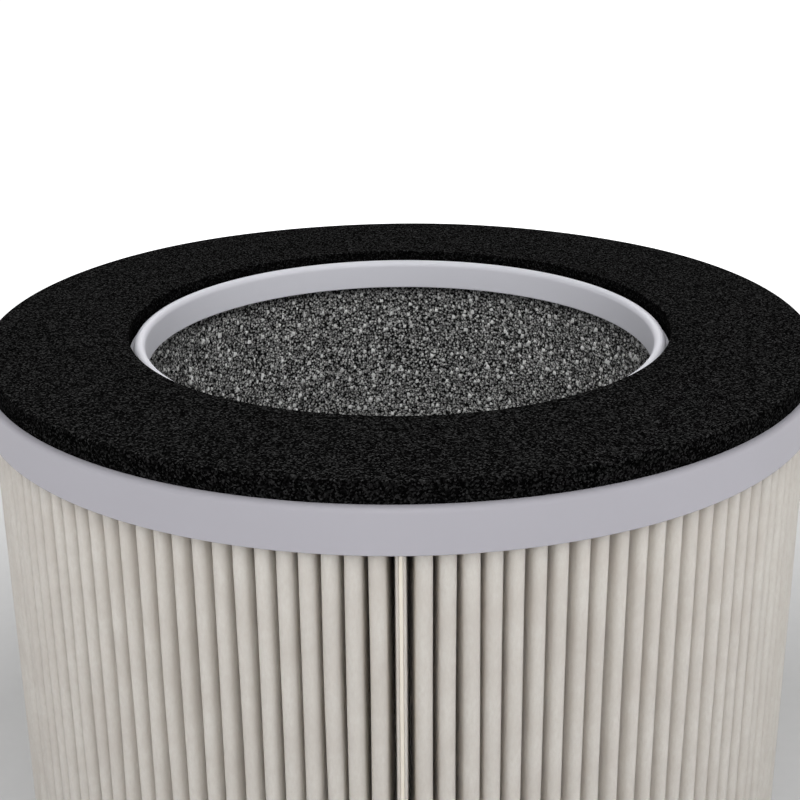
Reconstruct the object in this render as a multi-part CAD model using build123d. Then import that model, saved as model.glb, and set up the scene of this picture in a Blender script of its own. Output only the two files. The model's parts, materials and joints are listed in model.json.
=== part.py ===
"""Round air purifier filter: a pleated ring of media between two end caps, with a carbon liner inside.

Millimetres, +Z up along the cartridge's axis. The origin is the centre of the lower gasket's face,
where the cartridge stands. The seam of the pleated sheet faces -Y.
"""

from build123d import *
from math import acos, atan2, cos, degrees, hypot, pi, radians, sin
import os

# Whole cartridge
overall_height = 150.0

# End caps
bore_diameter = 115.0
plate_thickness = 1.8
skirt_depth = 9.3
skirt_wall = 1.4
shoulder_radius = 1.3
collar_wall = 2.65
collar_drop = 4.7
lip_height = 2.4

# Foam gaskets
gasket_thickness = 4.5
gasket_ledge = 1.3
gasket_hole_gap = 1.0

# Adhesive in the caps' troughs
potting_depth = 2.0

# Granular carbon liner, rolled into a tube round the collars
liner_thickness = 3.7
liner_gap = 0.15

# Pleated media, with the pitch measured round the tips
pleat_depth = 27.4
pleat_pitch = 4.24
media_thickness = 0.6
tip_width = 3.2
media_outer_gap = 0.2
media_inner_gap = 0.3

# Glued seam between the sheet's two end leaves
seam_gap = 0.6
seam_recess = 0.4
seam_glue_depth = 12.0

# Flat facets that stand for each round stretch
shoulder_facets = 2
lip_facets = 4
tip_facets = 3

# Radii, from the bore outwards
bore_radius = bore_diameter / 2
collar_radius = bore_radius + collar_wall
liner_inner_radius = collar_radius + liner_gap
liner_outer_radius = liner_inner_radius + liner_thickness
media_inner_radius = liner_outer_radius + media_inner_gap
media_outer_radius = media_inner_radius + pleat_depth
skirt_inner_radius = media_outer_radius + media_outer_gap
cap_radius = skirt_inner_radius + skirt_wall

# Heights, from the top downwards; the lower end mirrors them
top_plate_z = overall_height - gasket_thickness
trough_top_z = top_plate_z - plate_thickness
media_top_z = trough_top_z - potting_depth
media_bottom_z = overall_height - media_top_z


def at(radius, direction):
    """Point at a radius from the axis, in a direction in degrees."""
    return Vector(radius * cos(radians(direction)), radius * sin(radians(direction)))


def arc_points(centre, radius, start, end, facets):
    """Points of a round stretch about a centre, from one direction to another."""
    return [centre + at(radius, start + (end - start) * step / facets) for step in range(facets + 1)]


def ring(inner_radius, outer_radius, bottom_z, top_z):
    """Plain ring with square edges, centred on the axis."""
    section = Circle(outer_radius) - Circle(inner_radius)
    return extrude(Plane.XY.offset(bottom_z) * section, top_z - bottom_z)


def upright(outline):
    """The part of the cartridge between the two beds of adhesive with this outline, seen from above."""
    section = make_face(Polyline(*outline, close=True))
    return extrude(Plane.XY.offset(media_bottom_z) * section, media_top_z - media_bottom_z)


def turned_over(piece):
    """The same piece at the cartridge's other end."""
    return piece.rotate(Axis((0, 0, overall_height / 2), (1, 0, 0)), 180)


# End caps


def end_cap(collar_end):
    """Cap at the top, revolved from its section, whose plate meets the bore by the points of collar_end."""
    shoulder_centre = Vector(cap_radius - shoulder_radius, top_plate_z - shoulder_radius)
    section = [
        Vector(skirt_inner_radius, trough_top_z),
        Vector(skirt_inner_radius, top_plate_z - skirt_depth),
        Vector(cap_radius, top_plate_z - skirt_depth),
        *arc_points(shoulder_centre, shoulder_radius, 0, 90, shoulder_facets),
        *collar_end,
        Vector(bore_radius, top_plate_z - collar_drop),
        Vector(collar_radius, top_plate_z - collar_drop),
        Vector(collar_radius, trough_top_z),
    ]
    return revolve(Plane.XZ * make_face(Polyline(*section, close=True)), Axis.Z)


def lipped_cap():
    """Upper cap: the collar stands above the plate as a lip, which is round all over."""
    lip_radius = collar_wall / 2
    lip_centre = Vector(bore_radius + lip_radius, top_plate_z + lip_height - lip_radius)
    lip = arc_points(lip_centre, lip_radius, 0, 180, lip_facets)
    return end_cap([Vector(collar_radius, top_plate_z), *lip])


def plain_cap():
    """Lower cap, drawn at the top: the collar ends level with the plate."""
    return end_cap([Vector(bore_radius, top_plate_z)])


# Gaskets, adhesive and liner


def gasket():
    """Flat foam ring that covers the cap's plate, with its hole just clear of the lip."""
    return ring(collar_radius + gasket_hole_gap, cap_radius - gasket_ledge, top_plate_z, overall_height)


def potting():
    """Adhesive that fills the end of the cap's trough, from the collar to the skirt."""
    return ring(collar_radius, skirt_inner_radius, media_top_z, trough_top_z)


def liner():
    """Tube of granular carbon sheet, held between the adhesive of both ends."""
    return ring(liner_inner_radius, liner_outer_radius, media_bottom_z, media_top_z)


# Pleated media: the outer folds stand open and round, and the inner folds are creased tight

seam_direction = -90.0
pleat_count = round(2 * pi * media_outer_radius / pleat_pitch)
pleat_angle = 360 / pleat_count
tip_radius = tip_width / 2
tip_centre_radius = media_outer_radius - tip_radius
crease_radius = media_inner_radius + media_thickness

# Angle between a pleat's spoke and the normal of its flank, which runs straight from crease to round tip
flank_inwards = tip_centre_radius - crease_radius * cos(radians(pleat_angle / 2))
flank_sideways = crease_radius * sin(radians(pleat_angle / 2))
flank_turn = acos(tip_radius / hypot(flank_inwards, flank_sideways))
flank_angle = degrees(atan2(flank_sideways, -flank_inwards) - flank_turn)


def end_leaf(side):
    """Corners of one end of the sheet, from its crease outwards and back; side 1 lies anticlockwise."""
    crease = at(crease_radius, seam_direction + side * pleat_angle / 2)
    sideways = at(seam_gap / 2 + media_thickness, seam_direction + side * 90)
    tip = at(media_outer_radius - seam_recess, seam_direction) + sideways
    to_seam = (tip - crease).normalized().rotate(Axis.Z, -side * 90) * media_thickness
    return [crease, tip, tip + to_seam, crease + to_seam]


def pleated_sheet():
    """The folded sheet: its outline goes round the outer face and comes back round the inner face."""
    outer_face = []
    inner_face = []
    for pleat in range(1, pleat_count):
        spoke = seam_direction + pleat * pleat_angle
        flanks = (spoke - flank_angle, spoke + flank_angle)
        tip_centre = at(tip_centre_radius, spoke)
        creases = [at(crease_radius, spoke + side * pleat_angle / 2) for side in (-1, 1)]
        outer_face += [creases[0], *arc_points(tip_centre, tip_radius, *flanks, tip_facets)]
        inner_face += [
            creases[0] - at(media_thickness, flanks[0]),
            *arc_points(tip_centre, tip_radius - media_thickness, *flanks, 1),
            creases[1] - at(media_thickness, flanks[1]),
        ]
    first_leaf = end_leaf(1)
    last_leaf = end_leaf(-1)
    return upright([*reversed(first_leaf[1:]), *outer_face, *last_leaf, *reversed(inner_face)])


def seam_glue():
    """Hot-melt strip that fills the outer part of the gap between the sheet's two end leaves."""
    outline = []
    for side in (1, -1):
        tip, crease = end_leaf(side)[2:]
        inner = tip + (crease - tip).normalized() * seam_glue_depth
        outline += [inner, tip] if side == 1 else [tip, inner]
    return upright(outline)


# Every piece under its own name

pieces = {
    "top_gasket": gasket(),
    "top_cap": lipped_cap(),
    "top_potting": potting(),
    "pleated_media": pleated_sheet(),
    "seam_glue": seam_glue(),
    "carbon_liner": liner(),
    "bottom_potting": turned_over(potting()),
    "bottom_cap": turned_over(plain_cap()),
    "bottom_gasket": turned_over(gasket()),
}

os.makedirs("parts", exist_ok=True)
for name, piece in pieces.items():
    export_step(piece, f"parts/{name}.step")
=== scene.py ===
"""Finish of a round air purifier filter: moulded caps, die-cut foam gaskets, folded media and a carbon liner.

Everything is in metres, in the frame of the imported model: +Z up, the seam of the media towards -Y.
"""

import json
import math

import bpy
import numpy as np
from mathutils import Matrix, Vector


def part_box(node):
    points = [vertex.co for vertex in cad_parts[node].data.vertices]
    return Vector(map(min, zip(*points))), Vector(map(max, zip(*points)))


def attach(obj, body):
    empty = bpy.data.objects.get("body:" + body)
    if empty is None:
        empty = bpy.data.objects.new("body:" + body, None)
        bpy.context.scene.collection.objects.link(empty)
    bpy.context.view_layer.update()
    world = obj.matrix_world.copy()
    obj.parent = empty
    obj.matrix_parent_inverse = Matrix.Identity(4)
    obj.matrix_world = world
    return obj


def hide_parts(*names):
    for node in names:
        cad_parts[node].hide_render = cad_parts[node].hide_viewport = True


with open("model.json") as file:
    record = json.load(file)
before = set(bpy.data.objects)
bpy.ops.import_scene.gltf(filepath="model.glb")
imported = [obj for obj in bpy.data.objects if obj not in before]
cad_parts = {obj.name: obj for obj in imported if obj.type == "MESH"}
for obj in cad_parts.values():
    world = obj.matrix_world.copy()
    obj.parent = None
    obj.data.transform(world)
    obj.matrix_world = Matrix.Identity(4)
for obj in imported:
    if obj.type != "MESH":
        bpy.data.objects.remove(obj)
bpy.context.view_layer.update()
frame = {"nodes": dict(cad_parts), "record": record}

MM = 0.001

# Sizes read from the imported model. The caps' flat facets face -X, where a round rim just fits inside them
cap_low, cap_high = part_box("top_cap")
gasket_low, gasket_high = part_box("top_gasket")
media_low, media_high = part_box("pleated_media")
liner_low, liner_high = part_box("carbon_liner")
cap_radius = -cap_low.x
gasket_radius = gasket_high.x
media_radius = media_high.x
liner_outer_radius = liner_high.x
top_z = gasket_high.z
plate_z = gasket_low.z
lip_z = cap_high.z
skirt_bottom_z = cap_low.z
media_bottom_z = media_low.z
media_top_z = media_high.z
bore_mount = next(m for m in frame["record"]["mounts"] if m["name"] == "outlet_bore")
bore_radius = bore_mount["dims"]["r_mm"] * MM

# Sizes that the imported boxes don't give, as the solids have them
collar_wall = 2.65 * MM
collar_drop = 4.7 * MM
plate_thickness = 1.8 * MM
skirt_wall = 1.4 * MM
shoulder_radius = 1.3 * MM
gasket_hole_gap = 1.0 * MM
liner_gap = 0.15 * MM
media_inner_gap = 0.3 * MM
media_thickness = 0.6 * MM
tip_radius = 1.6 * MM
pleat_count = 136
seam_gap = 0.6 * MM
seam_recess = 0.4 * MM
collar_radius = bore_radius + collar_wall
liner_inner_radius = collar_radius + liner_gap
crease_radius = liner_outer_radius + media_inner_gap + media_thickness

# The side that the glued seam faces, and the turn from one pleat to the next, in degrees
seam_direction = -90.0
pleat_pitch = 360 / pleat_count

# The carbon sheet's face lies this far behind the solid's, which leaves room for the granules on it
granule_bed = 0.35 * MM

# Distance from a rounded edge to the next row of points, which keeps the shading of flat walls flat
edge_support = 0.12 * MM

# The table's card glows with painted light, as if far lights washed it: nothing before the first distance
# from the axis, and all of it from the second on
wash_start = 0.15
wash_end = 0.76
wash_strength = 1.0
floor_size = 16.0

# Light of the room, and the height in degrees that the white wall round it reaches
room_light = 0.05
wall_top = 9.0

# The place, size and watts of each softbox
softboxes = {
    "front_softbox": ((0.0, -1.05, 1.05), 0.9, 9.9),
    "back_softbox": ((0.0, 1.5, 1.2), 1.6, 16.0),
    "left_softbox": ((-1.2, -0.3, 0.8), 1.1, 3.2),
    "right_softbox": ((1.2, -0.3, 0.8), 1.1, 4.8),
}

# The photograph's camera: its place, its angles in degrees, and its lens and sensor in millimetres
camera_place = (0.6 * MM, -322.9 * MM, top_z + 101.0 * MM)
camera_pitch = 20.508
camera_yaw = -0.113
camera_roll = -0.510
camera_lens = 66.57
camera_sensor = 36.0


# Colour and nodes


def linear(hex_colour):
    """Linear RGBA of an sRGB colour such as #E8E6F0."""
    channels = [int(hex_colour[i : i + 2], 16) / 255 for i in (1, 3, 5)]
    return [c / 12.92 if c <= 0.04045 else ((c + 0.055) / 1.055) ** 2.4 for c in channels] + [1.0]


def add(tree, kind, inputs=None, **settings):
    """One node with its settings; an input takes a value, or the output of another node."""
    made = tree.nodes.new(kind)
    for name, value in settings.items():
        setattr(made, name, value)
    for name, value in (inputs or {}).items():
        if isinstance(value, bpy.types.NodeSocket):
            tree.links.new(value, made.inputs[name])
        else:
            made.inputs[name].default_value = value
    return made


def new_material(name):
    """Empty node material with its output; returns the material, its tree and the output node."""
    material = bpy.data.materials.new(name)
    material.use_nodes = True
    material.node_tree.nodes.clear()
    return material, material.node_tree, add(material.node_tree, "ShaderNodeOutputMaterial")


# Materials


def moulded_abs():
    """White ABS from a spark-eroded mould: satin, faintly cool, with a very fine even grain."""
    material, tree, out = new_material("moulded_abs")
    place = add(tree, "ShaderNodeTexCoord").outputs["Object"]
    # The eroded grain is about 0.25 mm from peak to peak
    grain = add(tree, "ShaderNodeTexNoise", {"Vector": place, "Scale": 1 / (0.25 * MM), "Detail": 2.0})
    # Slow shrinkage over the wall, about 30 mm from swell to swell
    swell = add(tree, "ShaderNodeTexNoise", {"Vector": place, "Scale": 1 / (30 * MM), "Detail": 1.0})
    # Painted shade: the colour greys outwards from the collar to the skirt, so the skirt's outside is darker
    # than the collar and lip
    from_axis = add(tree, "ShaderNodeVectorMath", {0: place, 1: (1.0, 1.0, 0.0)}, operation="MULTIPLY")
    radius = add(tree, "ShaderNodeVectorMath", {0: from_axis.outputs["Vector"]}, operation="LENGTH")
    outwards = add(
        tree,
        "ShaderNodeMapRange",
        {"Value": radius.outputs["Value"], "From Min": collar_radius, "From Max": cap_radius - skirt_wall},
    )
    base_with_painted_shade = add(
        tree,
        "ShaderNodeMix",
        {"Factor": outwards.outputs["Result"], "A": linear("#F2F2FA"), "B": linear("#AEACB4")},
        data_type="RGBA",
    )
    shade = add(
        tree,
        "ShaderNodeMapRange",
        {"Value": swell.outputs["Fac"], "From Min": 0.3, "From Max": 0.7, "To Min": 0.97, "To Max": 1.0},
    )
    tone = add(
        tree,
        "ShaderNodeVectorMath",
        {0: base_with_painted_shade.outputs["Result"], "Scale": shade.outputs["Result"]},
        operation="SCALE",
    )
    sheen_band = add(
        tree,
        "ShaderNodeMapRange",
        {"Value": grain.outputs["Fac"], "From Min": 0.3, "From Max": 0.7, "To Min": 0.48, "To Max": 0.58},
    )
    relief = add(
        tree,
        "ShaderNodeBump",
        {"Height": grain.outputs["Fac"], "Strength": 0.12, "Distance": 0.02 * MM},
    )
    plastic = add(
        tree,
        "ShaderNodeBsdfPrincipled",
        {
            "Base Color": tone.outputs["Vector"],
            "Roughness": sheen_band.outputs["Result"],
            "IOR": 1.53,
            "Normal": relief.outputs["Normal"],
        },
    )
    tree.links.new(plastic.outputs["BSDF"], out.inputs["Surface"])
    return material


def cut_foam():
    """Black fine-cell foam, sliced and die-cut: open cells drink the light, and a few walls show grey."""
    material, tree, out = new_material("cut_foam")
    coordinates = add(tree, "ShaderNodeTexCoord").outputs
    place = coordinates["Object"]
    # Cells are about 0.3 mm across, with finer ones between
    cells = add(tree, "ShaderNodeTexVoronoi", {"Vector": place, "Scale": 1 / (0.32 * MM)}, feature="F1")
    fine = add(tree, "ShaderNodeTexNoise", {"Vector": place, "Scale": 1 / (0.2 * MM), "Detail": 2.0})
    height = add(
        tree,
        "ShaderNodeMath",
        {0: cells.outputs["Distance"], 1: fine.outputs["Fac"]},
        operation="ADD",
    )
    relief = add(
        tree,
        "ShaderNodeBump",
        {"Height": height.outputs["Value"], "Strength": 0.8, "Distance": 0.15 * MM},
    )
    # Most cells are open and dark; the palest tenth have a cell wall that lies flat
    cell_tone = add(tree, "ShaderNodeSeparateColor", {"Color": cells.outputs["Color"]})
    flatness = add(
        tree,
        "ShaderNodeMath",
        {0: cell_tone.outputs["Red"], 1: 4.0},
        operation="POWER",
    )
    tone = add(
        tree,
        "ShaderNodeMix",
        {"Factor": flatness.outputs["Value"], "A": linear("#080808"), "B": linear("#4C4C4C")},
        data_type="RGBA",
    )
    # Painted shade: faces that stand upright, the die-cut walls, are coloured darker than the flat sliced
    # faces
    facing = add(tree, "ShaderNodeSeparateXYZ", {0: coordinates["Normal"]})
    level = add(tree, "ShaderNodeMath", {0: facing.outputs["Z"]}, operation="ABSOLUTE")
    painted_wall_shade = add(
        tree,
        "ShaderNodeMapRange",
        {"Value": level.outputs["Value"], "From Min": 0.2, "From Max": 0.9, "To Min": 0.36, "To Max": 0.85},
    )
    shade = add(
        tree,
        "ShaderNodeVectorMath",
        {0: tone.outputs["Result"], "Scale": painted_wall_shade.outputs["Result"]},
        operation="SCALE",
    )
    foam = add(
        tree,
        "ShaderNodeBsdfPrincipled",
        {
            "Base Color": shade.outputs["Vector"],
            "Roughness": 0.9,
            "IOR": 1.3,
            "Specular IOR Level": 0.0,
            "Normal": relief.outputs["Normal"],
        },
    )
    tree.links.new(foam.outputs["BSDF"], out.inputs["Surface"])
    return material


def pressed_media():
    """Off-white nonwoven media: matt pressed fibres, in a sheet thin enough to let light through."""
    material, tree, out = new_material("pressed_media")
    place = add(tree, "ShaderNodeTexCoord").outputs["Object"]
    # Bundles of fibres run up the pleats, drawn 0.5 mm thick because single fibres are too fine to show
    along = add(tree, "ShaderNodeMapping", {"Vector": place, "Scale": (1.0, 1.0, 0.35)})
    fibres = add(
        tree,
        "ShaderNodeTexNoise",
        {"Vector": along.outputs["Vector"], "Scale": 1 / (0.5 * MM), "Detail": 4.0, "Roughness": 0.65},
    )
    # The sheet is denser and thinner in clouds of about 9 mm
    clouds = add(tree, "ShaderNodeTexNoise", {"Vector": place, "Scale": 1 / (9 * MM), "Detail": 2.0})
    uneven = add(
        tree,
        "ShaderNodeMath",
        {0: fibres.outputs["Fac"], 1: clouds.outputs["Fac"]},
        operation="MULTIPLY",
    )
    share = add(
        tree,
        "ShaderNodeMapRange",
        {"Value": uneven.outputs["Value"], "From Min": 0.12, "From Max": 0.4},
    )
    tone = add(
        tree,
        "ShaderNodeMix",
        {"Factor": share.outputs["Result"], "A": linear("#EBE6E0"), "B": linear("#F5F2ED")},
        data_type="RGBA",
    )
    relief = add(
        tree,
        "ShaderNodeBump",
        {"Height": fibres.outputs["Fac"], "Strength": 0.35, "Distance": 0.08 * MM},
    )
    face = add(
        tree,
        "ShaderNodeBsdfPrincipled",
        {
            "Base Color": tone.outputs["Result"],
            "Roughness": 0.85,
            "IOR": 1.45,
            "Specular IOR Level": 0.3,
            "Normal": relief.outputs["Normal"],
        },
    )
    # Somewhat under half of the light goes on through it
    through = add(
        tree,
        "ShaderNodeBsdfTranslucent",
        {"Color": tone.outputs["Result"], "Normal": relief.outputs["Normal"]},
    )
    sheet = add(
        tree,
        "ShaderNodeMixShader",
        {"Fac": 0.43, 1: face.outputs["BSDF"], 2: through.outputs["BSDF"]},
    )
    tree.links.new(sheet.outputs["Shader"], out.inputs["Surface"])
    return material


def hot_melt():
    """Milky hot-melt adhesive, set smooth: soft highlights with slow ripples."""
    material, tree, out = new_material("hot_melt")
    place = add(tree, "ShaderNodeTexCoord").outputs["Object"]
    # The ripples are about 2.5 mm from crest to crest
    ripple = add(tree, "ShaderNodeTexNoise", {"Vector": place, "Scale": 1 / (2.5 * MM), "Detail": 1.0})
    tone = add(
        tree,
        "ShaderNodeMix",
        {"Factor": ripple.outputs["Fac"], "A": linear("#E4DBCB"), "B": linear("#EEE7DB")},
        data_type="RGBA",
    )
    relief = add(
        tree,
        "ShaderNodeBump",
        {"Height": ripple.outputs["Fac"], "Strength": 0.4, "Distance": 0.2 * MM},
    )
    glue = add(
        tree,
        "ShaderNodeBsdfPrincipled",
        {
            "Base Color": tone.outputs["Result"],
            "Roughness": 0.28,
            "IOR": 1.49,
            "Normal": relief.outputs["Normal"],
        },
    )
    tree.links.new(glue.outputs["BSDF"], out.inputs["Surface"])
    return material


def activated_carbon():
    """Crushed activated carbon, bonded into a sheet: matt black to grey, with broken faces that glint, partly
    as painted highlights.
    """
    material, tree, out = new_material("activated_carbon")
    place = add(tree, "ShaderNodeTexCoord").outputs["Object"]
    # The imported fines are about 0.55 mm across; their pores, too fine to show, are drawn 0.3 mm wide
    fines = add(tree, "ShaderNodeTexVoronoi", {"Vector": place, "Scale": 1 / (0.55 * MM)}, feature="F1")
    pores = add(tree, "ShaderNodeTexNoise", {"Vector": place, "Scale": 1 / (0.3 * MM), "Detail": 2.0})
    tones = add(tree, "ShaderNodeSeparateColor", {"Color": fines.outputs["Color"]})
    share = add(tree, "ShaderNodeMath", {0: tones.outputs["Red"], 1: 0.6}, operation="POWER")
    # Light hardly reaches between the fines
    crown = add(
        tree,
        "ShaderNodeMapRange",
        {
            "Value": fines.outputs["Distance"],
            "From Min": 0.22,
            "From Max": 0.66,
            "To Min": 1.0,
            "To Max": 0.0,
        },
    )
    showing = add(
        tree,
        "ShaderNodeMath",
        {0: share.outputs["Value"], 1: crown.outputs["Result"]},
        operation="MULTIPLY",
    )
    packed = add(
        tree,
        "ShaderNodeMix",
        {"Factor": showing.outputs["Value"], "A": linear("#080808"), "B": linear("#F2F2F0")},
        data_type="RGBA",
    )
    # A grain whose broken face catches the light is coloured pale, a painted highlight, and also shines with
    # raised specular; the rest have the fines' tones
    glint = add(tree, "ShaderNodeAttribute", attribute_name="glint")
    tone = add(
        tree,
        "ShaderNodeMix",
        {"Factor": glint.outputs["Fac"], "A": packed.outputs["Result"], "B": linear("#FFFFFE")},
        data_type="RGBA",
    )
    shine = add(
        tree,
        "ShaderNodeMapRange",
        {"Value": glint.outputs["Fac"], "To Min": 0.12, "To Max": 1.0},
    )
    height = add(
        tree,
        "ShaderNodeMath",
        {0: pores.outputs["Fac"], 1: fines.outputs["Distance"]},
        operation="SUBTRACT",
    )
    relief = add(
        tree,
        "ShaderNodeBump",
        {"Height": height.outputs["Value"], "Strength": 0.35, "Distance": 0.3 * MM},
    )
    grain = add(
        tree,
        "ShaderNodeBsdfPrincipled",
        {
            "Base Color": tone.outputs["Result"],
            "Roughness": 0.42,
            "IOR": 1.6,
            "Specular IOR Level": shine.outputs["Result"],
            "Normal": relief.outputs["Normal"],
        },
    )
    tree.links.new(grain.outputs["BSDF"], out.inputs["Surface"])
    return material


def studio_card():
    """Matt pale card of the table, with the slight mottle of its pulp, and a painted glow that washes it to
    white a step away.
    """
    material, tree, out = new_material("studio_card")
    place = add(tree, "ShaderNodeTexCoord").outputs["Object"]
    # Pulp clouds about 4 mm across, which only just show
    pulp = add(tree, "ShaderNodeTexNoise", {"Vector": place, "Scale": 1 / (4 * MM), "Detail": 2.0})
    tone = add(
        tree,
        "ShaderNodeMix",
        {"Factor": pulp.outputs["Fac"], "A": linear("#D3D3D3"), "B": linear("#D7D7D7")},
        data_type="RGBA",
    )
    away = add(tree, "ShaderNodeVectorMath", {0: place}, operation="LENGTH")
    wash = add(
        tree,
        "ShaderNodeMapRange",
        {
            "Value": away.outputs["Value"],
            "From Min": wash_start,
            "From Max": wash_end,
            "To Min": 0.0,
            "To Max": wash_strength,
        },
    )
    card = add(
        tree,
        "ShaderNodeBsdfPrincipled",
        {
            "Base Color": tone.outputs["Result"],
            "Roughness": 0.9,
            "Specular IOR Level": 0.2,
            "Emission Color": linear("#FFFFFF"),
            "Emission Strength": wash.outputs["Result"],
        },
    )
    tree.links.new(card.outputs["BSDF"], out.inputs["Surface"])
    return material


# Mesh building


def piece(name, points, faces, material, smooth=True):
    """Mesh piece of the object that rides with it and takes its finish from a slot."""
    mesh = bpy.data.meshes.new(name)
    mesh.from_pydata([tuple(p) for p in points], [], [tuple(f) for f in faces])
    mesh.materials.append(material)
    mesh.polygons.foreach_set("use_smooth", [smooth] * len(mesh.polygons))
    mesh.update()
    made = bpy.data.objects.new(name, mesh)
    bpy.context.collection.objects.link(made)
    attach(made, "root")
    return made


def softened(corners):
    """Closed section with rounded corners, given as (radius, height, rounding), its runs cut up evenly."""
    steps = 6
    longest = 2.0 * MM
    rounded = []
    for i, (x, z, rounding) in enumerate(corners):
        here = Vector((x, z))
        before = (Vector(corners[i - 1][:2]) - here).normalized()
        after = (Vector(corners[(i + 1) % len(corners)][:2]) - here).normalized()
        if rounding == 0:
            rounded.append(here)
            continue
        half = before.angle(after) / 2
        reach = rounding / math.tan(half)
        centre = here + (before + after).normalized() * rounding / math.sin(half)
        start, end = here + before * reach - centre, here + after * reach - centre
        sweep = start.angle_signed(end)
        for step in range(steps + 1):
            turned_ray = start.copy()
            turned_ray.rotate(Matrix.Rotation(-sweep * step / steps, 2))
            rounded.append(centre + turned_ray)
    section = []
    for i, here in enumerate(rounded):
        after = rounded[(i + 1) % len(rounded)]
        run = (after - here).length
        cuts = [0.0]
        if run > 2 * edge_support:
            inner = max(1, round(run / longest))
            middle = run - 2 * edge_support
            cuts += [(edge_support + middle * step / inner) / run for step in range(inner + 1)]
        section += [here.lerp(after, cut) for cut in cuts]
    return section


def turned_faces(rows, around):
    """Quads of a closed section of so many points turned full circle."""
    faces = []
    for a in range(around):
        b = (a + 1) % around
        for i in range(rows):
            j = (i + 1) % rows
            faces.append((a * rows + i, b * rows + i, b * rows + j, a * rows + j))
    return faces


def turned(section, around):
    """Points of a closed section turned full circle about the axis."""
    points = []
    for a in range(around):
        angle = 2 * math.pi * a / around
        points += [(p.x * math.cos(angle), p.x * math.sin(angle), p.y) for p in section]
    return points


def upside_down(points):
    """The same points at the cartridge's other end, turned about the X axis at mid height."""
    return [(x, -y, top_z - z) for x, y, z in points]


# End caps


def cap_section(lipped):
    """Section of an end cap at the top, anticlockwise from the skirt's inner edge."""
    trough_z = plate_z - plate_thickness
    skirt_radius = cap_radius - skirt_wall
    edge = 0.3 * MM
    inside = 0.5 * MM
    lip_foot = 0.25 * MM
    # The lip is round right over, in two roundings that stop a hair short of each other
    lip_crown = collar_wall / 2 * 0.999
    section = [
        (skirt_radius, skirt_bottom_z, edge),
        (cap_radius, skirt_bottom_z, edge),
        (cap_radius, plate_z, shoulder_radius),
    ]
    if lipped:
        section += [
            (collar_radius, plate_z, lip_foot),
            (collar_radius, lip_z, lip_crown),
            (bore_radius, lip_z, lip_crown),
        ]
    else:
        section.append((bore_radius, plate_z, edge))
    section += [
        (bore_radius, plate_z - collar_drop, edge),
        (collar_radius, plate_z - collar_drop, edge),
        (collar_radius, trough_z, inside),
        (skirt_radius, trough_z, inside),
    ]
    return softened(section)


def make_caps(plastic):
    """Both end caps, turned from their sections, whose rims stay inside the solids' flat facets."""
    around = 320
    for name, lipped in (("top_cap", True), ("bottom_cap", False)):
        section = cap_section(lipped)
        points = turned(section, around)
        if not lipped:
            points = upside_down(points)
        made = piece(name + "_moulding", points, turned_faces(len(section), around), plastic)
        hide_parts(name)


# Foam gaskets


def gasket_points(around, seed):
    """A foam ring with soft cut edges, whose walls wander and whose face isn't quite level."""
    rng = np.random.default_rng(seed)
    hole = collar_radius + gasket_hole_gap
    cut_edge = 0.35 * MM
    # How far the walls wander and draw in and the face dips, growing from nothing at the glued face
    wander = 0.10 * MM
    draw_in = 0.12 * MM
    dip = 0.05 * MM
    # The dips come seven times round the ring, and slant by so many radians for each metre outwards
    dips_around = 7
    dip_slant = 900.0
    section = softened(
        [
            (hole, plate_z, 0.0),
            (gasket_radius, plate_z, 0.0),
            (gasket_radius, top_z, cut_edge),
            (hole, top_z, cut_edge),
        ]
    )
    angles = 2 * np.pi * np.arange(around) / around
    # The cut wanders in 2 to 13 waves round the ring, the short ones the smallest
    waves = sum(
        rng.uniform(0.2, 1.0) / k * np.cos(k * angles + rng.uniform(0, 2 * np.pi)) for k in range(2, 14)
    )
    points = []
    for a, angle in enumerate(angles):
        for p in section:
            height = (p.y - plate_z) / (top_z - plate_z)
            outwards = 1 if p.x > (hole + gasket_radius) / 2 else -1
            radius = min(p.x + wander * waves[a] * height * outwards - draw_in * height, gasket_radius)
            z = p.y - dip * height * (1 + math.sin(dips_around * angle + dip_slant * p.x))
            points.append((radius * math.cos(angle), radius * math.sin(angle), z))
    return points, turned_faces(len(section), around)


def make_gaskets(foam):
    """Both foam rings."""
    around = 360
    for name, seed in (("top_gasket", 3), ("bottom_gasket", 4)):
        points, faces = gasket_points(around, seed)
        if name == "bottom_gasket":
            points = upside_down(points)
        made = piece(name + "_foam", points, faces, foam)
        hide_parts(name)


# Pleated media


def polar(radius, degrees):
    """Points at a radius and a direction, for numbers or arrays."""
    return np.stack([radius * np.cos(np.radians(degrees)), radius * np.sin(np.radians(degrees))], axis=-1)


def rotated(vectors, angles):
    """Plane vectors turned anticlockwise by angles in radians."""
    cos, sin = np.cos(angles), np.sin(angles)
    x, y = vectors[..., 0], vectors[..., 1]
    return np.stack([x * cos - y * sin, x * sin + y * cos], axis=-1)


def end_leaf(side, rows):
    """One end of the sheet, from its crease outwards, row by row; side 1 lies anticlockwise of the seam."""
    crease = polar(np.full(rows, crease_radius), seam_direction + side * pleat_pitch / 2)
    sideways = polar(seam_gap / 2 + media_thickness, seam_direction + side * 90)
    tip = polar(np.full(rows, media_radius - seam_recess), seam_direction) + sideways
    away = (tip - crease) / np.linalg.norm(tip - crease, axis=-1, keepdims=True)
    to_seam = rotated(away, -side * np.pi / 2) * media_thickness
    return [(crease, crease + to_seam), (tip, tip + to_seam)]


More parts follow.
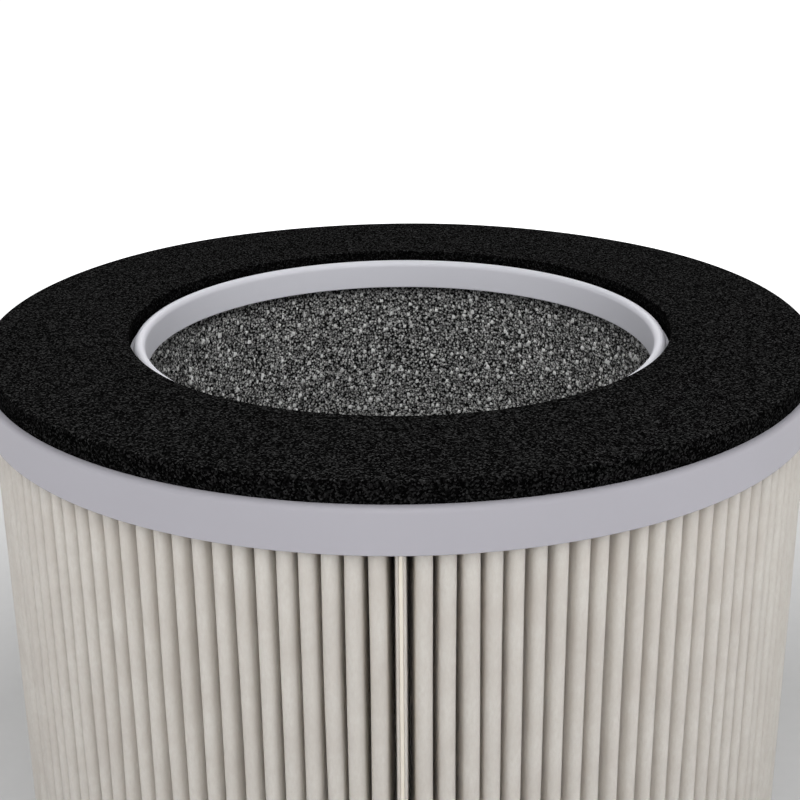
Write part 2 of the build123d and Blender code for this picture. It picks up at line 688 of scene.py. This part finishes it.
def pleat_spokes(up, held, rng):
    """Direction of each pleat's tip in degrees, row by row: pleats fed by hand stand off their places."""
    # In pitches: how far pleats drift together, stand off alone and sway, and the most of the first two
    drift_share = 0.1
    own_share = 0.04
    sway_share = 0.04
    most = 0.35
    # The drift changes a little from pleat to pleat and comes back to nothing at the seam
    drift = 0.25 * np.cumsum(rng.normal(0, 1, pleat_count))
    drift -= np.linspace(drift[0], drift[-1], pleat_count)
    # The seam holds the pleats beside it in their places
    ease = np.sin(np.pi * np.arange(pleat_count) / pleat_count) ** 0.5
    spokes = []
    for pleat in range(pleat_count):
        # A pleat sways in half a wave to one and a half from end to end
        sway = sway_share * rng.normal() * held
        sway = sway * np.sin(2 * np.pi * (up * rng.uniform(0.5, 1.6) + rng.random()))
        shift = np.clip(own_share * rng.normal() + drift_share * drift[pleat], -most, most) * ease[pleat]
        spokes.append(seam_direction + (pleat + shift) * pleat_pitch + sway * pleat_pitch)
    return spokes


def flank(tip, size, pleat, side):
    """Normal of a pleat's flat flank, and its pairs of points at the crease and most of the way out."""
    way_out = 0.72
    crease = polar(np.full(len(size), crease_radius), seam_direction + (pleat + side / 2) * pleat_pitch)
    along = crease - tip
    reach = np.linalg.norm(along, axis=-1)
    normal = rotated(along / reach[:, None], side * -np.arccos(size / reach))
    far = crease * (1 - way_out) + (tip + normal * size[:, None]) * way_out
    return normal, [(point, point - normal * media_thickness) for point in (crease, far)]


def fold_line(heights, rng):
    """Pairs of points on the sheet's outer and inner face, row by row, all the way round the folds."""
    tip_steps = 8
    # Six times round the ring the round tips get up to a fifth narrower, and each differs a little
    narrowings = 6
    narrowing_share = 0.10
    own_share = 0.02
    rows = len(heights)
    up = (heights - heights[0]) / (heights[-1] - heights[0])
    # The adhesive holds the pleats' two ends in their places
    held = np.sin(np.pi * up) ** 0.6
    spokes = pleat_spokes(up, held, rng)
    pairs = end_leaf(1, rows)[::-1]
    for pleat in range(1, pleat_count):
        narrowing = narrowing_share * (1 - math.cos(math.radians(narrowings * pleat * pleat_pitch)))
        own = own_share * np.clip(rng.normal(), -1.6, 1.6)
        size = tip_radius * (1 - narrowing + own) * np.ones(rows)
        # Tips lie a tenth of a millimetre or so inside the ring, and a little more at mid height
        sunk = (0.10 * abs(rng.normal()) + 0.05 * held * rng.random()) * MM
        tip = polar(media_radius - sunk - size, spokes[pleat])
        first_normal, first_flank = flank(tip, size, pleat, -1)
        last_normal, last_flank = flank(tip, size, pleat, 1)
        first = np.arctan2(first_normal[:, 1], first_normal[:, 0])
        last = np.arctan2(last_normal[:, 1], last_normal[:, 0])
        sweep = np.mod(last - first, 2 * np.pi)
        pairs += first_flank
        for step in range(tip_steps + 1):
            turn = first + sweep * step / tip_steps
            ray = np.stack([np.cos(turn), np.sin(turn)], axis=-1)
            pairs.append((tip + ray * size[:, None], tip + ray * (size - media_thickness)[:, None]))
        pairs += last_flank[::-1]
    return pairs + end_leaf(-1, rows)


def strip_faces(length, rows):
    """Quads of the thick strip: its two faces, its two long cut edges, and its two ends at the seam."""

    def at(i, face, row):
        """Number of a point: its pair along the strip, its face, 0 outside and 1 inside, and its row."""
        return (i * 2 + face) * rows + row

    faces = []
    top = rows - 1
    for i in range(length - 1):
        j = i + 1
        for low in range(top):
            high = low + 1
            faces.append((at(i, 0, low), at(j, 0, low), at(j, 0, high), at(i, 0, high)))
            faces.append((at(i, 1, low), at(i, 1, high), at(j, 1, high), at(j, 1, low)))
        faces.append((at(i, 0, 0), at(i, 1, 0), at(j, 1, 0), at(j, 0, 0)))
        faces.append((at(i, 0, top), at(j, 0, top), at(j, 1, top), at(i, 1, top)))
    for i in (0, length - 1):
        for low in range(top):
            end = (at(i, 0, low), at(i, 0, low + 1), at(i, 1, low + 1), at(i, 1, low))
            faces.append(end if i == 0 else end[::-1])
    return faces


def make_media(media):
    """The sheet as one thick folded strip, uneven as hand-fed pleats are."""
    rows = 22
    heights = np.linspace(media_bottom_z, media_top_z, rows)
    pairs = fold_line(heights, np.random.default_rng(11))
    points = np.zeros((len(pairs), 2, rows, 3))
    points[..., :2] = pairs
    points[..., 2] = heights
    faces = strip_faces(len(pairs), rows)
    made = piece("folded_media", points.reshape(-1, 3), faces, media)
    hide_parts("pleated_media")


# Carbon liner


def make_liner(carbon):
    """The rolled sheet, and the granules that stand out of its inner face."""
    around = 240
    face = liner_inner_radius + granule_bed
    section = softened(
        [
            (face, liner_low.z, 0.0),
            (liner_outer_radius, liner_low.z, 0.0),
            (liner_outer_radius, liner_high.z, 0.0),
            (face, liner_high.z, 0.0),
        ]
    )
    faces = turned_faces(len(section), around)
    made = piece("carbon_sheet", turned(section, around), faces, carbon)
    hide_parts("carbon_liner")
    fine = granules("fine_granules", carbon, pitch=1.02 * MM, size=0.42 * MM, sides=4, rows=1, seed=21)
    coarse = granules("coarse_granules", carbon, pitch=2.05 * MM, size=0.56 * MM, sides=5, rows=2, seed=22)
    # A share of the grains glints: a painted highlight in their colour, palest on the coarse ones, together
    # with stronger specular
    rng = np.random.default_rng(23)
    for (grains, count), share, brightest in ((fine, 0.14, 0.65), (coarse, 0.42, 1.0)):
        glints = np.where(rng.random(count) < share, brightest * rng.uniform(0.8, 1.0, count), 0.0)
        points_each = len(grains.data.vertices) // count
        values = grains.data.attributes.new("glint", "FLOAT", "POINT")
        values.data.foreach_set("value", np.repeat(glints, points_each).astype(np.float32))


def granules(name, carbon, pitch, size, sides, rows, seed):
    """Broken grains of carbon set close together in the sheet's inner face, each with its own shape.

    A grain is a peak over its rows of corners, with as many corners in a row as it has sides. Returns the
    piece and the number of its grains.
    """
    rng = np.random.default_rng(seed)
    face = liner_inner_radius + granule_bed
    tallest = granule_bed + 0.4 * MM
    # How far a grain may lie off its place, in pitches, and how much its size may differ from the given one
    stray_share = 0.42
    size_spread = 0.2
    smallest = 0.65
    largest = 1.5
    # Each row of corners is narrower than the one before by this share, and further out by so many sizes
    taper = 0.12
    first_rise = -0.25
    row_rise = 0.75
    columns = round(2 * math.pi * face / pitch)
    levels = int((liner_high.z - liner_low.z) / pitch)
    column, level = (grid.ravel() for grid in np.meshgrid(np.arange(columns), np.arange(levels)))
    count = len(column)
    # Every second level is set half a pitch on
    stray = rng.uniform(-stray_share, stray_share, (2, count))
    angle = 2 * np.pi * (column + 0.5 * (level % 2) + stray[0]) / columns
    z = liner_low.z + pitch * (level + 0.5 + stray[1])
    scale = size * rng.lognormal(0, size_spread, count).clip(smallest, largest)
    # No grain reaches past the sheet's cut ends
    margin = scale * 1.2
    z = z.clip(liner_low.z + margin, liner_high.z - margin)
    centre = np.stack([face * np.cos(angle), face * np.sin(angle), z], axis=-1)
    inward = np.stack([-np.cos(angle), -np.sin(angle), np.zeros(count)], axis=-1)
    across = np.stack([-np.sin(angle), np.cos(angle), np.zeros(count)], axis=-1)
    up = np.tile([0.0, 0.0, 1.0], (count, 1))
    rings = []
    for row in range(rows):
        for side in range(sides):
            turn = 2 * np.pi * (side + 0.3 * rng.uniform(-1, 1, count)) / sides
            # The first corner of a row is swung round, which breaks the grains' even outline
            swing = 2 * np.pi * rng.random()
            if side == 0:
                turn = turn + swing
            reach = scale * rng.uniform(0.8, 1.15, count) * (1.0 - taper * row)
            rise = scale * (first_rise + row_rise * row + 0.15 * rng.uniform(-1, 1, count))
            rings.append(
                centre
                + across * (reach * np.cos(turn))[:, None]
                + up * (reach * np.sin(turn))[:, None]
                + inward * np.minimum(rise, granule_bed)[:, None]
            )
    peak = np.minimum(scale * rng.uniform(0.6, 1.2, count), tallest)
    lean = scale * 0.25 * rng.uniform(-1, 1, (2, count))
    rings.append(centre + inward * peak[:, None] + across * lean[0][:, None] + up * lean[1][:, None])
    points = np.stack(rings, axis=1)
    corners = []
    for side in range(sides):
        after = (side + 1) % sides
        for row in range(rows - 1):
            low, high = row * sides, (row + 1) * sides
            corners += [(low + side, low + after, high + after), (low + side, high + after, high + side)]
        top = (rows - 1) * sides
        corners.append((top + side, top + after, rows * sides))
    points_each = rows * sides + 1
    faces = (np.arange(count)[:, None, None] * points_each + np.array(corners)).reshape(-1, 3)
    made = piece(name, points.reshape(-1, 3), faces, carbon, smooth=False)
    return made, count


# Studio


def make_studio(card):
    """Pale table, a soft room round it, and softboxes in front of, behind and beside the object."""
    bpy.ops.mesh.primitive_plane_add(size=floor_size, location=(0, 0, 0))
    floor = bpy.context.object
    floor.name = "floor"
    floor.data.materials.append(card)
    world = bpy.data.worlds.new("studio")
    bpy.context.scene.world = world
    world.use_nodes = True
    tree = world.node_tree
    tree.nodes.clear()
    # The card curves up into a white wall far off, so only a low strip round the horizon is bright
    direction = add(tree, "ShaderNodeSeparateXYZ", {0: add(tree, "ShaderNodeTexCoord").outputs["Generated"]})
    wall = add(
        tree,
        "ShaderNodeMapRange",
        {
            "Value": direction.outputs["Z"],
            "From Min": math.sin(math.radians(wall_top / 2)),
            "From Max": math.sin(math.radians(wall_top)),
            "To Min": 1.0,
            "To Max": room_light,
        },
        interpolation_type="SMOOTHSTEP",
    )
    glow = add(tree, "ShaderNodeBackground", {"Color": linear("#FFFFFF"), "Strength": wall.outputs["Result"]})
    out = add(tree, "ShaderNodeOutputWorld")
    tree.links.new(glow.outputs["Background"], out.inputs["Surface"])
    top_middle = (0, 0, top_z)
    for name, (place, size, power) in softboxes.items():
        softbox(name, place, top_middle, size, power)


def softbox(name, place, target, size, power):
    """Square soft white light that faces a point."""
    light = bpy.data.lights.new(name, "AREA")
    light.size = size
    light.energy = power
    made = bpy.data.objects.new(name, light)
    made.location = place
    made.rotation_mode = "QUATERNION"
    made.rotation_quaternion = (Vector(target) - Vector(place)).to_track_quat("-Z", "Y")
    bpy.context.collection.objects.link(made)


def make_camera():
    """Camera at the photograph's place, 0.32 m from the axis and 0.1 m above the top, looking down on it."""
    camera = bpy.data.cameras.new("camera")
    camera.sensor_width = camera_sensor
    camera.lens = camera_lens
    camera.clip_start = 0.02
    camera.clip_end = 60.0
    made = bpy.data.objects.new("camera", camera)
    pitch = math.radians(camera_pitch)
    yaw = math.radians(camera_yaw)
    roll = math.radians(camera_roll)
    forward = Vector((math.sin(yaw) * math.cos(pitch), math.cos(yaw) * math.cos(pitch), -math.sin(pitch)))
    right = forward.cross(Vector((0, 0, 1))).normalized()
    over = right.cross(forward)
    level_right = right * math.cos(roll) + over * math.sin(roll)
    level_up = over * math.cos(roll) - right * math.sin(roll)
    turn = Matrix((level_right, level_up, -forward)).transposed().to_4x4()
    made.matrix_world = Matrix.Translation(camera_place) @ turn
    bpy.context.collection.objects.link(made)
    bpy.context.scene.camera = made


plastic = moulded_abs()
foam = cut_foam()
media = pressed_media()
glue = hot_melt()
carbon = activated_carbon()
card = studio_card()

make_caps(plastic)
make_gaskets(foam)
make_media(media)
make_liner(carbon)
for node in ("top_potting", "bottom_potting", "seam_glue"):
    frame["nodes"][node].data.materials.clear()
    frame["nodes"][node].data.materials.append(glue)
make_studio(card)
make_camera()
bpy.context.scene.view_settings.view_transform = "Standard"
